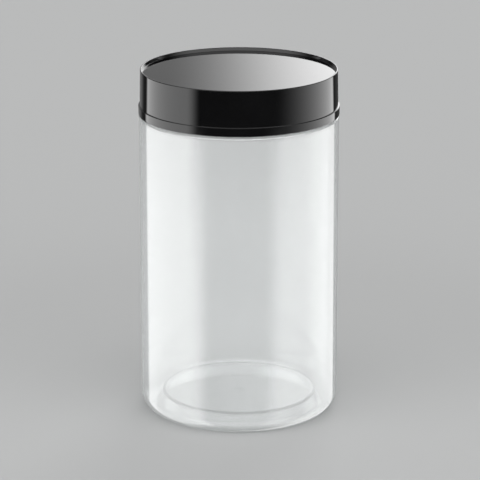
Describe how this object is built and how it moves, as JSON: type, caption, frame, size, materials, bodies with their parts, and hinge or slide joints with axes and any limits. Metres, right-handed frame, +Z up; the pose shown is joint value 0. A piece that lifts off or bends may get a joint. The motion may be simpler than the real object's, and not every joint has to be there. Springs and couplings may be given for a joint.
{
  "type": "plastic jar with screw lid",
  "caption": "Tall clear plastic jar with straight sides, a wide threaded neck, a pushed-up base and a glossy black screw lid with a foam liner.",
  "frame": {"origin": "middle of the foot ring, at the level of the surface that the jar stands on", "axes": "+Z up along the axis of the jar and its lid; the threads start at 60 degrees from +X towards +Y"},
  "size_m": [0.1002, 0.1002, 0.1761],
  "materials": {
    "clear_body": "clear, glossy",
    "black_lid": "polished black",
    "white_foam": "fine closed-cell foam"
  },
  "bodies": {
    "jar": {"jar_body": "clear_body"},
    "liner": {"liner": "white_foam"},
    "lid": {"lid": "black_lid"}
  },
  "joints": [
    {"name": "lid_rise", "type": "slide", "parent": "jar", "child": "liner", "axis": [0, 0, 1], "range_m": [0, 0.0191]},
    {"name": "lid_turn", "type": "hinge", "parent": "liner", "child": "lid", "pos_m": [0, 0, 0.1718], "axis": [0, 0, 1], "range_deg": [0, 1368]}
  ],
  "couplings": [
    {"joint": "lid_rise", "follows": "lid_turn", "m_per_rad": 0.00079577}
  ]
}
